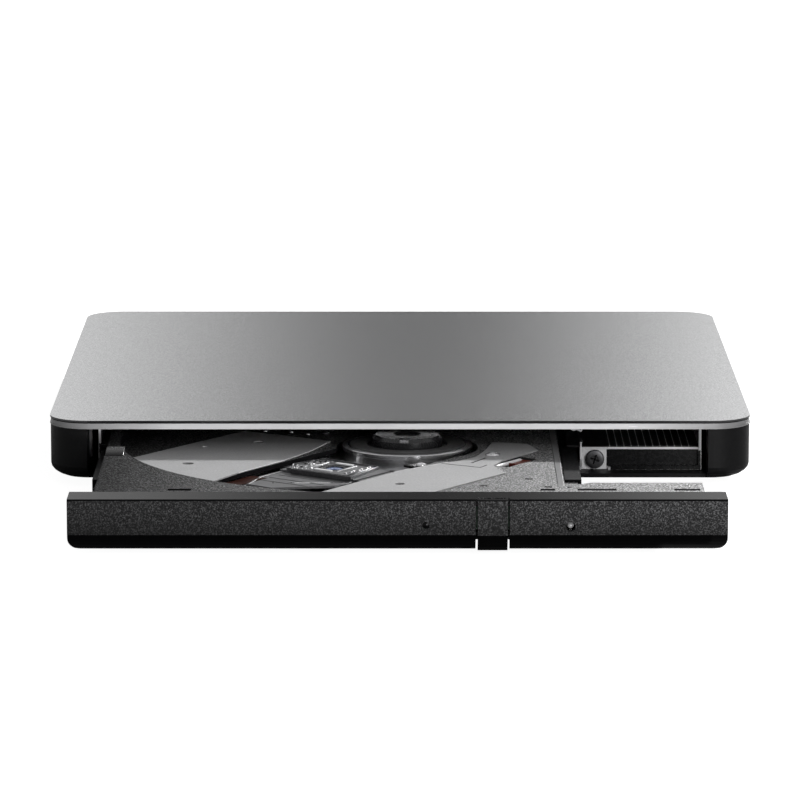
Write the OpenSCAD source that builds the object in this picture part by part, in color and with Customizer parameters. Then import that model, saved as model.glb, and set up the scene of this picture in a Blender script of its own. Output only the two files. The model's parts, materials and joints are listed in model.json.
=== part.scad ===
// External slim optical drive: a flat enclosure with a tray drive inside it.
// Origin: centre of the shell's flat underside. The rubber feet stand below it.
// +Z up, +X right, -Y towards the tray front.

/* [Enclosure] */
// Width of the enclosure, left to right
case_w = 148.5; // [148:0.5:152]
// Depth of the enclosure, front to back
case_d = 145; // [145:0.5:148]
// Corner radius of the enclosure seen from above
plan_r = 8.5; // [7:0.5:10]
// Thickness of the aluminium top skin
skin_t = 0.4; // [0.3:0.05:0.5]
// Height of the rubber feet below the shell
foot_h = 1; // [0.6:0.1:1]

/* [Slim drive] */
// Width of the drive's steel pan
drive_w = 128; // [127.5:0.1:128]
// Thickness of the steel sheet
sheet = 0.5; // [0.4:0.05:0.5]
// Height of the shelf beside the tray, above the desk
shelf_z = 6.9; // [6.7:0.05:7.1]

/* [Tray] */
// How far the tray stands open
tray_out = 72.2; // [0:0.1:136]
// Width of the front bezel
bezel_w = 130; // [128:0.5:130]
// Sideways offset of the bezel from the enclosure's middle
bezel_x = -0.5; // [-0.5:0.1:0]
// Depth of the bezel from its front face to its back
bezel_d = 8; // [7.6:0.1:8]
// Radius of the recess for the disc
recess_r = 60.5; // [60.3:0.1:61]
// Width of the eject button
button_w = 5.9; // [5:0.1:6]
// Radius of the emergency release hole
pin_hole_r = 0.95; // [0.7:0.05:1.1]

/* [Spindle] */
// Radius of the hub that centres the disc
hub_r = 7.4; // [7.3:0.02:7.45]
// Radius of the turntable
table_r = 13.75; // [13:0.05:14]

/* [Pickup] */
// Distance of the lens from the spindle axis
lens_u = 26; // [22.5:0.5:57]

/* [Hidden] */
$fn = 64;

// Heights above the desk
top_z = 13.2 + foot_h;     // top of the skin
frame_z = top_z - 1.8;     // underside of the silver frame
floor_z = foot_h + 1.1;    // inner floor of the shell
foot_top = foot_h + 0.4;   // top of the feet, inside their pockets
pan_top = floor_z + sheet; // upper face of the pan's floor
rim_z = 11.6;              // top of the pan's walls
board_top = 5;             // upper face of the bridge board and the main board

front_y = -case_d / 2;     // enclosure front, and bezel front when the tray is shut

black = [0.1, 0.1, 0.1];
board_green = [0.05, 0.3, 0.15];
guide_cream = [0.85, 0.85, 0.82];

// ---------- ranges and shapes ----------
// A range is [low, high] along one axis.
function span(middle, half) = [middle - half, middle + half];
function from_front(low, high) = [front_y + low, front_y + high];
function from_pan(low, high) = [pan_front + low, pan_front + high];
// The range from inner to outer on the right (s = 1), or its mirror image on the left.
function side(s, inner, outer) = s > 0 ? [inner, outer] : [-outer, -inner];

module slab(x, y, z) {
  translate([x[0], y[0], z[0]]) cube([x[1] - x[0], y[1] - y[0], z[1] - z[0]]);
}
module block(corner, size) {
  translate(corner) cube(size);
}
// Upright cylinder at [x, y]
module post(at, r, z) {
  translate([at[0], at[1], z[0]]) cylinder(r = r, h = z[1] - z[0]);
}
// Cylinder along Y at [x, z]
module rod_y(at, r, y) {
  translate([at[0], y[0], at[1]]) rotate([-90, 0, 0]) cylinder(r = r, h = y[1] - y[0]);
}
// Cylinder along X at [y, z]; in the traverse frame X is the pickup's travel, u
module rod_u(at, r, u) {
  translate([u[0], at[0], at[1]]) rotate([0, 90, 0]) cylinder(r = r, h = u[1] - u[0]);
}
// Extrudes a [y, z] section over a range of x
module along_x(x) {
  translate([x[0], 0, 0]) rotate([90, 0, 90]) linear_extrude(x[1] - x[0]) children();
}
module round_rect(width, depth, radius) {
  square([width - 2 * radius, depth], center = true);
  square([width, depth - 2 * radius], center = true);
  for (sx = [-1, 1], sy = [-1, 1])
    translate([sx * (width / 2 - radius), sy * (depth / 2 - radius)]) circle(radius);
}
// Screw standing on its head, with a cross recess in the head
module screw(head_r, head_h, shank_r, shank_len, cross_w = 0.35, cross_h = undef) {
  difference() {
    cylinder(r = head_r, h = head_h);
    for (a = [0, 90]) rotate(a)
      cube([head_r * 1.1, cross_w, is_undef(cross_h) ? 0.7 * head_h : cross_h], center = true);
  }
  translate([0, 0, head_h - 0.001]) cylinder(r = shank_r, h = shank_len);
}
module spring_turn(turn_r, wire_r) {
  rotate_extrude() translate([turn_r, 0]) circle(r = wire_r, $fn = 16);
}
// Parts on a board's upper face; rows are [left, right, front, back, height]
module chip_set(chips) {
  for (chip = chips)
    slab([chip[0], chip[1]], [chip[2], chip[3]], [board_top, board_top + chip[4]]);
}

// ---------- frames ----------
// Heights are counted from the desk; this moves them so that zero is the shell's underside.
module from_desk() { translate([0, 0, -foot_h]) children(); }
// Pieces that ride on the tray are drawn with the tray shut, then moved out with it.
module on_tray() { translate([0, -tray_out, 0]) children(); }
// The rails move half as far as the tray.
module on_rail() { translate([0, -tray_out / 2, 0]) children(); }
module at_corners(x, y) {
  for (sx = [-1, 1], sy = [-1, 1]) translate([sx * x, sy * y, 0]) children();
}

// ---------- enclosure ----------
shell_inset = 0.4; // shell stands this far inside the frame at front and back
shell_w = case_w - 0.2;
shell_d = case_d - 2 * shell_inset;
shell_r = plan_r - shell_inset;
edge_w = 6;        // width and height of the rounding round the shell's bottom
edge_h = 3;
cavity_w = case_w - 4.2;
cavity_d = case_d - 11.4;
cavity_r = 4;
cavity_y = 3.5;    // the cavity's middle lies behind the enclosure's
lip_gap = 0.1;
lip_t = 1;
opening_x = span(bezel_x, bezel_w / 2 + 0.5); // tray opening
foot_at = [54, 53];
board_screw_at = [44.5, 68.5];
socket_at = [38, 6.35]; // x and z of the USB socket's axis

module case_outline(inset) {
  round_rect(case_w - 2 * inset, case_d - 2 * inset, plan_r - inset);
}
module at_case_screws() { at_corners(case_w / 2 - 6.5, 61) children(); }
module at_board_screws() {
  for (s = [-1, 1]) translate([s * board_screw_at[0], board_screw_at[1], 0]) children();
}
module at_socket(y) {
  translate([socket_at[0], y, socket_at[1]]) rotate([-90, 0, 0]) children();
}

module top_plate() color("silver") from_desk()
  translate([0, 0, top_z - skin_t]) linear_extrude(skin_t) case_outline(0);

module lid_frame() color("gainsboro") from_desk() {
  difference() {
    // stepped rim: [inset, bottom, height], bottom counted from frame_z
    for (step = [[0, 0, 0.27], [0.15, 0.2, 0.95], [0.5, 1.1, top_z - skin_t - frame_z - 1.1]])
      translate([0, 0, frame_z + step[1]]) linear_extrude(step[2]) case_outline(step[0]);
    translate([0, 0, frame_z - 1]) linear_extrude(4)
      round_rect(case_w - 12, case_d - 12, plan_r - 4);
  }
  // alignment lip inside the shell's walls, left out at the front
  lip_w = cavity_w - 2 * lip_gap;
  lip_d = cavity_d - 2 * lip_gap;
  difference() {
    translate([0, cavity_y, frame_z - 0.9]) linear_extrude(1)
      round_rect(lip_w, lip_d, cavity_r);
    translate([0, cavity_y, frame_z - 1]) linear_extrude(1.2)
      round_rect(lip_w - 2 * lip_t, lip_d - 2 * lip_t, cavity_r - lip_t);
    slab([-200, 200], from_front(-1, 12), [frame_z - 2, frame_z - 0.0001]);
  }
  // screw bosses
  at_case_screws() difference() {
    translate([0, 0, floor_z + 2.4]) cylinder(r = 2.3, h = frame_z - floor_z - 2.2);
    translate([0, 0, floor_z]) cylinder(r = 1, h = 9);
  }
}

// Upright section of the shell's edge: a wide quarter ellipse at the bottom, then a straight wall.
function edge_section() = concat([[0, foot_h], [shell_r - edge_w, foot_h]],
  [for (k = [1:6])
    [shell_r - edge_w + edge_w * sin(k * 15), foot_h + edge_h * (1 - cos(k * 15))]],
  [[shell_r, frame_z], [0, frame_z]]);

module straight_edge(length) { along_x(span(0, length / 2)) polygon(edge_section()); }

module shell_outer() {
  core_w = shell_w - 2 * shell_r;
  core_d = shell_d - 2 * shell_r;
  block([-core_w / 2, -core_d / 2, foot_h], [core_w, core_d, frame_z - foot_h]);
  for (a = [0, 180]) rotate(a) {
    translate([0, core_d / 2, 0]) straight_edge(core_w);
    translate([core_w / 2, 0, 0]) rotate(-90) straight_edge(core_d);
    for (s = [-1, 1])
      translate([s * core_w / 2, core_d / 2, 0]) rotate_extrude() polygon(edge_section());
  }
}

module bottom_shell() color([0.12, 0.12, 0.13]) from_desk() difference() {
  union() {
    difference() {
      shell_outer();
      // main cavity
      translate([0, cavity_y, floor_z]) linear_extrude(20)
        round_rect(cavity_w, cavity_d, cavity_r);
      // tray opening
      slab(opening_x, from_front(-1, 10), [floor_z, frame_z + 1]);
      // floor cut back for the bezel's lower edge
      slab(opening_x, from_front(-1, 4.1), [0, floor_z + 1]);
    }
    // screw tubes
    at_case_screws() translate([0, 0, floor_z - 0.2]) cylinder(r = 2.6, h = 2.6);
    // ribs that hold the drive sideways
    for (s = [-1, 1], y = [-44, -14, 16, 46])
      slab(side(s, pan_x + 0.15, cavity_w / 2 + 0.2), [y, y + 1.4], [floor_z - 0.2, floor_z + 6.8]);
    // posts under the bridge board
    at_board_screws() post([0, 0], 1.8, [floor_z - 0.2, 4]);
  }
  // screw holes and counterbores
  at_case_screws() {
    cylinder(r = 1.1, h = 8);
    cylinder(r = 2, h = foot_h + 1.4);
  }
  at_board_screws() post([0, 0], 1, [floor_z + 0.2, floor_z + 3]);
  // pockets for the feet
  at_corners(foot_at[0], foot_at[1]) post([0, 0], 5, [0, foot_top]);
  // socket window in the back wall
  at_socket(60) linear_extrude(20) round_rect(8, 3, 1);
  // vent slots along the back wall
  for (k = [0:9]) slab([-48 + k * 4, -46.4 + k * 4], [60, 80], [7.2, 9.6]);
}

module rubber_feet() color([0.2, 0.2, 0.2]) from_desk() at_corners(foot_at[0], foot_at[1])
  rotate_extrude() polygon([[0, 0], [4.3, 0], [4.9, 0.5], [4.9, foot_top], [0, foot_top]]);

module case_screws() color("dimgray") from_desk() at_case_screws()
  translate([0, 0, foot_h + 0.3]) screw(1.85, 1.1, 0.98, 7.5);

// ---------- fixed part of the drive ----------
pan_x = drive_w / 2;
pan_inner = pan_x - sheet;      // inner face of the pan's side walls
pan_front = front_y + 8.5;
pan_back = front_y + 138.5;
pan_y = [pan_front, pan_back];
shelf_left = 38.3;
shelf_right = pan_inner - 0.05;
tab_screw_at = [41.4, 4.35];    // x and z
lock_at = [30.6, front_y + 22.4];

module at_cover_screws() {
  for (s = [-1, 1], y = [-50, 55]) translate([s * (pan_x - 3), y, 0]) children();
}

module drive_chassis() color("silver") from_desk() difference() {
  union() {
    slab([-pan_x, pan_x], pan_y, [floor_z, pan_top]);
    for (s = [-1, 1]) slab(side(s, pan_inner, pan_x), pan_y, [floor_z, rim_z]);
    slab([-pan_x, pan_x], [pan_back - sheet, pan_back], [floor_z, rim_z]);
    // tabs under the cover screws
    for (s = [-1, 1], y = [-50, 55])
      slab(side(s, pan_x - 5, pan_x), span(y, 3), [rim_z - sheet, rim_z]);
  }
  at_cover_screws() post([0, 0], 0.8, [10, 12]);
  // window for the drive connector
  slab([-31, -7], span(pan_back, 2), [4.4, 7.6]);
  // notch under the front screw
  slab([38.5, 44.3], from_pan(-1, 1.2), [1.5, 4]);
  // floor windows: [x, y, width, depth]
  for (window = [[-48, 30, 18, 34], [-16, 30, 18, 34], [12, 30, 18, 34],
                 [-40, -30, 24, 26], [0, -30, 24, 26]])
    translate([window[0], window[1], floor_z - 1]) linear_extrude(3)
      round_rect(window[2], window[3], 4);
}

module drive_top_cover() color("lightgray") from_desk() difference() {
  union() {
    slab([-pan_x, pan_x], pan_y, [rim_z, rim_z + sheet]);
    // rolled front edge, turned up a little for stiffness
    slab(span(0, pan_x - 1), from_pan(0, 0.5), [rim_z + sheet - 0.1, rim_z + sheet + 0.2]);
  }
  at_cover_screws() post([0, 0], 1.1, [11, 13]);
}

module cover_screws() color("gray") from_desk() at_cover_screws()
  translate([0, 0, 12.35]) rotate([180, 0, 0]) screw(1.7, 0.25, 0.78, 1.3);

module wing_shelf() color("gray") from_desk() difference() {
  union() {
    slab([shelf_left, shelf_right], [pan_front + 0.5, pan_back - 1], [shelf_z - sheet, shelf_z]);
    // wall down to the pan on the tray's side
    slab([shelf_left, shelf_left + sheet], [pan_front + 0.9, pan_back - 1],
      [pan_top + 0.05, shelf_z]);
    // front tab
    slab([38.6, 43.9], from_pan(0.5, 1), [2.15, shelf_z]);
  }
  rod_y(tab_screw_at, 0.85, from_pan(-1, 3));
}

module wing_liner() color(black) from_desk() {
  lip_y = from_pan(-0.22, 0);
  lip_bottom = floor_z + 0.05;
  slab([44.1, shelf_right], from_pan(1.6, 2.8), [pan_top, shelf_z - sheet]);
  for (x = [46, 54, 61.5])
    slab([x, x + 1.2], from_pan(2.6, 60), [pan_top, shelf_z - sheet - 0.2]);
  slab([44, shelf_right], from_pan(1.6, 60), [pan_top, pan_top + 0.6]);
  // lips over the raw edges of the sheet
  slab([44.8, shelf_right], from_pan(-0.22, 1.7), [pan_top, pan_top + 0.3]);
  slab([44.8, pan_x - 0.1], lip_y, [lip_bottom, pan_top + 0.3]);
  slab([pan_inner - 0.15, pan_x - 0.1], lip_y, [lip_bottom, shelf_z - sheet - 0.1]);
  slab([-pan_x + 0.1, -pan_inner + 0.04], lip_y, [lip_bottom, 7.8]);
  slab([-pan_inner, 38.2], lip_y, [lip_bottom, pan_top + 0.1]);
}

module front_tab_screw() color([0.15, 0.15, 0.15]) from_desk()
  translate([tab_screw_at[0], pan_front - 0.05, tab_screw_at[1]]) rotate([-90, 0, 0])
    screw(2, 0.55, 0.8, 1.9, cross_w = 0.5, cross_h = 0.7);

// Channel open towards the tray and closed at the back
module guide(lower_x, upper_x, guide_top) {
  slab(lower_x, from_pan(1, 128), [pan_top, 3.8]);
  slab(upper_x, from_pan(1, 128), [6.75, guide_top]);
  slab(upper_x, from_pan(122.5, 128), [pan_top, guide_top]);
}
module left_guide() color(guide_cream) from_desk()
  guide([-pan_inner, -61.6], [-pan_inner, -61.6], 7.4);
module right_guide() color(guide_cream) from_desk()
  guide([34.3, shelf_left - 0.05], [35.5, shelf_left - 0.05], 7.2);

module lock_pin() color("silver") from_desk() {
  post(lock_at, 0.9, [pan_top, 5.3]);
  post(lock_at, 1.5, [pan_top, 3.3]);
}

// Cable that runs along the shelf, with its conductors raised
module shelf_flex_cable() color([0.75, 0.74, 0.7]) from_desk() {
  cable_y = [pan_front + 1.2, pan_back - 3];
  slab([43.5, 62.5], cable_y, [shelf_z, shelf_z + 0.08]);
  for (k = [0:11])
    slab([44.2 + k * 1.55, 44.9 + k * 1.55], cable_y, [shelf_z + 0.07, shelf_z + 0.13]);
}

module bridge_board() color(board_green) from_desk() difference() {
  slab([-46.5, 46.5], [66.5, 70.3], [4, board_top]);
  at_board_screws() post([0, 0], 1.05, [3, 6]);
}
module bridge_chips() color(black) from_desk() {
  chip_set([[0, 4, 66.8, 70, 0.9], [8, 11, 67, 69.6, 0.8], [16, 18, 67.4, 69, 1.1]]);
  chip_set([for (k = [0:5]) [21 + k * 1.8, 22 + k * 1.8, 67.8, 68.4, 0.4]]);
}
module board_screws() color("dimgray") from_desk() at_board_screws()
  translate([0, 0, board_top + 0.8]) rotate([180, 0, 0]) screw(1.5, 0.8, 0.96, 2.2);

module usb_port() color("silver") from_desk() difference() {
  at_socket(66.2) linear_extrude(5.75) round_rect(7.5, 2.5, 0.8);
  // mouth, with the contact tongue left standing
  at_socket(67) linear_extrude(6) difference() {
    round_rect(6.9, 1.9, 0.6);
    translate([0, 0.2]) square([3.7, 0.6], center = true);
  }
}
module drive_connector() color([0.08, 0.08, 0.08]) from_desk() difference() {
  slab([-30, -8], [64.8, 70], [board_top, 7.3]);
  slab([-28.8, -9.2], [64, 66], [5.6, 6.7]);
}

// ---------- sliding rails ----------
module rail(outer_x, groove_x) {
  difference() {
    slab(outer_x, from_front(10.5, 128.5), [4, 6.6]);
    slab(groove_x, from_front(9, 130), [4.4, 6.2]);
  }
}
module left_rail() color("silver") from_desk() on_rail() rail([-63.35, -61.45], [-62.95, -61]);
module right_rail() color([0.3, 0.3, 0.32]) from_desk() on_rail() rail([33.95, 37.35], [33, 36.95]);

// ---------- tray ----------
// Places on the tray are given with the tray shut.
tray_left = -61.3;
tray_right = 33.5;
tray_front = front_y + bezel_d;
tray_back = front_y + 136.8;
tray_x = [tray_left, tray_right];
tray_y = [tray_front, tray_back];
tray_top = 9.7;
skirt_z = [3.6, 7];
recess_z = 7.9;                       // floor of the disc recess
spindle = [1.5, front_y + 75.5, 0];
travel_angle = 234.5;                 // direction of the pickup's travel
lever_pivot = [25.5, front_y + 14.5];
ejector_at = [16, 5.3];               // x and z of the ejector's axis
button_x = 18.25;
light_at = [5.1, 6.5];                // x and z of the indicator light

// +X runs along the pickup's travel from the spindle.
module traverse_frame() { translate(spindle) rotate([0, 0, travel_angle]) children(); }
module at_dampers() {
  for (at = [[-12, -13.5], [-12, 15.5], [60, -15.5]]) translate([at[0], at[1], 0]) children();
}

module tray_frame() color([0.15, 0.15, 0.16]) from_desk() on_tray() difference() {
  union() {
    slab(tray_x, tray_y, [6.9, tray_top]);
    // skirts
    slab([tray_left, tray_left + 1.1], tray_y, skirt_z);
    slab([tray_right - 1, tray_right], tray_y, skirt_z);
    slab(tray_x, [tray_front, tray_front + 1.2], skirt_z);
    slab([tray_left, 26], [tray_back - 1.2, tray_back], skirt_z);
    // front corner beside the disc
    slab([tray_right - 0.5, 61], [tray_front, tray_front + 19.6], [8.1, tray_top]);
    // tongues that run in the rails
    for (tongue_x = [[tray_left - 1.35, tray_left + 0.1], [tray_right - 0.1, tray_right + 3.1]])
      slab(tongue_x, [tray_front + 4, front_y + 128], [4.6, 6]);
    // lever post and plunger housing
    post(lever_pivot, 1.2, [4, 7]);
    slab([12, 20], [tray_back - 12, tray_back - 0.5], [3.8, 7]);
    // bosses for the traverse's dampers
    traverse_frame() at_dampers() translate([0, 0, 5.65]) cylinder(r = 1.9, h = 1.4);
  }
  // disc recess
  translate([0, 0, recess_z]) translate(spindle) cylinder(r = recess_r, h = 5, $fn = 180);
  // traverse opening: round the spindle, then out along the pickup's travel
  traverse_frame() translate([0, 0, 6]) linear_extrude(1.9) {
    circle(r = 15);
    translate([0, -11.4]) square([recess_r + 3.7, 25.9]);
  }
  // openings over the solenoid and the clips; clips are [left edge, width]
  traverse_frame() block([-5, 25.3, 6], [11, 4.6, 4]);
  for (clip = [[-46.6, 4.7], [25.8, 5.3], [35.6, 7.8], [55, 5.2]])
    slab([clip[0], clip[0] + clip[1]], from_front(19.3, 21.2), [6, 12]);
  // lowered smooth strip along the right edge
  slab([tray_right - 1.5, tray_right + 1], [front_y + 24, tray_back + 1], [7.7, 12]);
  // short slots cut from below: [left edge, front edge, width]
  for (slot = [[6, 22, 6], [24, 22, 4], [-52, -36, 5], [14, -50, 6]])
    slab([slot[0], slot[0] + slot[2]], [slot[1], slot[1] + 1.8], [6, 8.5]);
  // screw holes for the traverse
  traverse_frame() at_dampers() translate([0, 0, 5]) cylinder(r = 1, h = 1.6);
  // bore for the ejector
  rod_y(ejector_at, 1.3, [tray_back - 11, tray_back + 1]);
}

// Lower front curve of the bezel: [distance behind the front face, height]
bezel_curve = [[0, 4.6], [0.35, 3.85], [0.9, 3.1], [1.7, 2.3], [2.7, 1.5], [3.8, 1.1]];

module bezel() color([0.2, 0.2, 0.21]) from_desk() on_tray() difference() {
  intersection() {
    // side section
    along_x(span(bezel_x, bezel_w / 2)) translate([front_y, 0])
      polygon(concat(bezel_curve,
        [[3.8, 2.7], [bezel_d, 2.7], [bezel_d, 11.7], [0.3, 11.7], [0, 11.4]]));
    // front outline: lower corners rounded, upper corners square
    translate([0, front_y - 1, 0]) rotate([-90, 0, 0]) mirror([0, 1, 0]) linear_extrude(20)
      union() {
        translate([bezel_x, 6.5]) round_rect(bezel_w, 10.8, 2.6);
        translate([bezel_x, 9]) square([bezel_w, 5.4], center = true);
      }
  }
  // hollow back
  slab(span(bezel_x, bezel_w / 2 - 2.5), from_front(1.8, 20), [4, 10]);
  // slot for the button
  slot_x = span(button_x, button_w / 2 + 0.4);
  slab(slot_x, from_front(-1, 1.85), [0, 13]);
  slab(slot_x, from_front(-1, 5), [0, 5]);
  // light window and emergency hole
  rod_y(light_at, 0.75, from_front(-1, 3));
  rod_y([33.6, 6.2], pin_hole_r, from_front(-1, 3));
}

// Side section of the button's face: [distance behind the bezel's front, height]
button_section = [[-0.25, 4.5], [0.1, 3.7], [0.7, 2.8], [1.5, 1.9], [2.6, 1], [2.9, 1.6],
  [1.6, 3.4], [1.1, 4.6], [1.1, 11.6], [-0.05, 11.6], [-0.25, 11.4]];

module eject_button() color([0.17, 0.17, 0.18]) from_desk() on_tray() {
  along_x(span(button_x, button_w / 2)) translate([front_y, 0]) polygon(button_section);
  // stem towards the switch
  slab(span(button_x, 1.25), from_front(1, 3.75), [5.6, 8]);
}
module light_pipe() color([0.8, 0.85, 0.85]) from_desk() on_tray()
  rod_y(light_at, 0.74, from_front(0.05, 5.6));
module front_board() color(board_green) from_desk() on_tray()
  slab([0, 24], from_front(7.3, 7.9), [4.3, 9.5]);
module indicator_led() color([0.4, 0.9, 0.4]) from_desk() on_tray()
  slab(span(light_at[0], 0.8), from_front(6, 7.3), span(light_at[1], 0.8));
module eject_switch() color("silver") from_desk() on_tray() {
  slab(span(button_x, 1.75), from_front(5.2, 7.3), [5, 8.6]);
  rod_y([button_x, 6.8], 0.8, from_front(4.5, 5.3));
}

// Outlines and holes of the cover plates: [x, y], y counted from plate_y
plate_y = front_y + 72.2;
left_outline = [[-72, -82], [-60, -76], [-33.2, -26], [-30.8, -22.3], [-24.2, -12.6],
  [-19.1, -2.5], [-14.7, 9.1], [-33.4, 21], [-53.5, -6.4], [-59.5, -14.5]];
right_outline = [[-26.8, -62], [-4.6, -62], [21.7, -26.2], [19.2, -18.6], [21.1, -13.2],
  [24.6, -7.8], [29, -1], [27, 6], [19.6, 8], [18, -1], [16, -8.5], [12.5, -13],
  [10, -14.7], [5.7, -18.6], [-1, -25]];

// Plate on the recess floor, its outline trimmed to a circle round the spindle
module cover_plate(trim_r, outline, hole_r, holes) {
  on_tray() difference() {
    translate([0, 0, recess_z]) linear_extrude(0.25) intersection() {
      polygon([for (p = outline) [p[0], p[1] + plate_y]]);
      translate([spindle[0], spindle[1]]) circle(r = trim_r, $fn = 120);
    }
    for (hole = holes) post([hole[0], hole[1] + plate_y], hole_r, [7, 9]);
  }
}
module left_cover_plate() color("silver") from_desk()
  cover_plate(60.1, left_outline, 1.2, [[-44, -16], [-30, 8]]);
module right_cover_plate() color("silver") from_desk()
  cover_plate(57.5, right_outline, 1, [[0, -38], [19.4, -6.7]]);

module tray_bottom_cover() color("lightgray") from_desk() on_tray() difference() {
  slab([tray_left + 1.3, 26], [tray_front + 2, tray_back - 1.5], [3.3, 3.55]);
  for (x = [-46, -24]) translate([x, 30, 3]) linear_extrude(1) round_rect(12, 22, 3);
}
module main_board() color(board_green) from_desk() on_tray() difference() {
  slab([-34, 26], [29, 50], [4.2, board_top]);
  for (x = [-31, 23]) post([x, 47], 1, [4, 6]);
}
module board_chips() color(black) from_desk() on_tray() {
  chip_set([[-22, -8, 33, 46, 1], [-2, 6, 34, 42, 1.1], [10, 15, 34, 39, 0.9],
            [18, 24, 42, 49.5, 1.3]]);
  chip_set([for (k = [0:7]) [-30 + k * 6.6, -28.4 + k * 6.6, 30.5, 31.3, 0.6]]);
}

// ---------- traverse unit ----------
plate_z = 4.6;           // underside of the traverse plate
// Axes along the pickup's travel: [sideways, height]
main_rod = [12.5, 5.75];
sub_rod = [-11.4, 5.6];
feed_axis = [16.8, 5.6];
rod_run = [14.7, 65.3];
bearing_r = 2.3;         // hole for the spindle bearing
ball_angles = [30, 150, 270];
hub_z = 8.4;             // foot of the hub, on the turntable

module traverse() { on_tray() traverse_frame() children(); }
module pickup() { traverse() translate([lens_u, 0, 0]) children(); }

module traverse_chassis() color("silver") from_desk() traverse() difference() {
  union() {
    difference() {
      block([-16, -18.5, plate_z], [82.5, 37, 0.5]);
      // window for the pickup, and the notch for the motor
      block([16.2, -12.9, 4], [47.6, 30.2, 2]);
      block([57.4, 14, 4], [8.2, 6, 2]);
    }
    // rod holders
    for (u = [14.6, 64]) {
      block([u, 10.6, plate_z], [1.4, 3.6, 2.25]);
      block([u, -13.4, plate_z], [1.4, 3.4, 2]);
    }
    // bearings of the feed screw
    block([56.5, 15.6, plate_z], [0.8, 2.6, 2.1]);
    block([14.4, 15.6, plate_z], [1, 2.6, 2.1]);
  }
  rod_u(main_rod, 0.92, [10, 70]);
  rod_u(sub_rod, 0.75, [10, 70]);
  rod_u(feed_axis, 0.85, [10, 58]);
  at_dampers() cylinder(r = 1.9, h = 10);
  translate([0, 0, 4]) cylinder(r = bearing_r, h = 3);
}
// Grooved rings that grip the plate's edge
module rubber_dampers() color(black) from_desk() traverse() at_dampers() rotate_extrude()
  polygon([[1.15, 4], [2.5, 4], [2.5, 4.58], [1.88, 4.58],
           [1.88, 5.12], [2.5, 5.12], [2.5, 5.6], [1.15, 5.6]]);
module damper_screws() color("dimgray") from_desk() traverse() at_dampers()
  translate([0, 0, 3.62]) screw(1.7, 0.36, 0.98, 2.5);
module main_guide_rod() color("white") from_desk() traverse() rod_u(main_rod, 0.9, rod_run);
module sub_guide_rod() color("white") from_desk() traverse() rod_u(sub_rod, 0.74, rod_run);
module feed_screw() color("silver") from_desk() traverse() rod_u(feed_axis, 0.8, [14.5, 57.35]);

module stepper_motor() color("silver") from_desk() traverse() {
  // round can, flattened above and below
  intersection() {
    rod_u(feed_axis, 2.1, [57.5, 65.4]);
    block([57, 10, 3.7], [12, 12, 3.1]);
  }
  rod_u(feed_axis, 1.3, [57.4, 57.6]);
}
module spindle_stator() color([0.7, 0.4, 0.15]) from_desk() traverse() difference() {
  union() {
    translate([0, 0, 5.1]) cylinder(r = 9.6, h = 0.5);
    translate([0, 0, 5.1]) cylinder(r = 4.5, h = 1.5);
    for (k = [0:8]) rotate(k * 40) block([3.5, -1.2, 5.5], [6.6, 2.4, 1.1]);
  }
  translate([0, 0, 4]) cylinder(r = bearing_r, h = 4);
}
module spindle_bearing() color("goldenrod") from_desk() traverse() difference() {
  translate([0, 0, 4.2]) cylinder(r = bearing_r - 0.02, h = 2.4);
  translate([0, 0, 4.5]) cylinder(r = 1.04, h = 4);
}
module turntable() color("silver") from_desk() traverse() {
  rotate_extrude($fn = 96) polygon([[0, 7], [11.9, 7], [11.9, 5.4], [table_r - 0.5, 5.4],
    [table_r - 0.5, 7.6], [table_r, 7.8], [table_r, 8.55], [table_r - 0.15, 8.7],
    [12.5, 8.7], [12.3, hub_z], [0, hub_z]]);
  // shaft
  translate([0, 0, 4.6]) cylinder(r = 1, h = 2.5);
}
module friction_ring() color([0.25, 0.25, 0.26]) from_desk() traverse() rotate_extrude($fn = 96)
  polygon([[8.5, hub_z], [12.2, hub_z], [12.2, 8.75], [12, 8.9], [8.7, 8.9], [8.5, 8.75]]);
module disc_hub() color([0.12, 0.12, 0.12]) from_desk() traverse() difference() {
  translate([0, 0, hub_z]) rotate_extrude($fn = 96)
    polygon([[0, 0], [hub_r, 0], [hub_r, 1.7], [hub_r - 0.7, 2.4], [3, 2.4], [2.4, 1.9], [0, 1.9]]);
  for (a = ball_angles) rotate(a) block([5, -1.05, 10.15], [4, 2.1, 1.2]);
}
module clamp_balls() color("gray") from_desk() traverse()
  for (a = ball_angles) rotate(a) block([5.05, -0.95, 10.17], [1.75, 1.9, 0.45]);

// ---------- pickup ----------
module pickup_carriage() color([0.45, 0.45, 0.47]) from_desk() pickup() difference() {
  union() {
    block([-6, -9.6, 4.2], [12, 19.6, 2.9]);
    // bearing on the main rod
    block([-5.5, 9.5, 4.3], [11, 3, 2.6]);
    rod_u(main_rod, 1.7, [-6, 6]);
    // fork on the sub rod
    block([-2.5, -12.4, 4.4], [5, 3.2, 2.5]);
  }
  rod_u(main_rod, 0.95, [-10, 10]);
  block([-10, -12.8, 4.8], [20, 2.6, 1.6]);
  // well for the lens holder
  block([-4.2, -5.4, 5.2], [8.4, 8.8, 3]);
}
module lens_cover() color([0.8, 0.8, 0.8]) from_desk() pickup() difference() {
  block([-5.6, -8.2, 7.1], [11.2, 15, 0.5]);
  translate([0, 0, 6]) cylinder(r = 3.3, h = 3);
  block([-4.5, -7, 6], [2, 1.4, 3]);
}
module feed_nut() color([0.9, 0.9, 0.85]) from_desk() pickup() difference() {
  block([-5.5, 14.3, 4.35], [4, 2.8, 2.45]);
  rod_u(feed_axis, 0.86, [-8, 5]);
}
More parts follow.
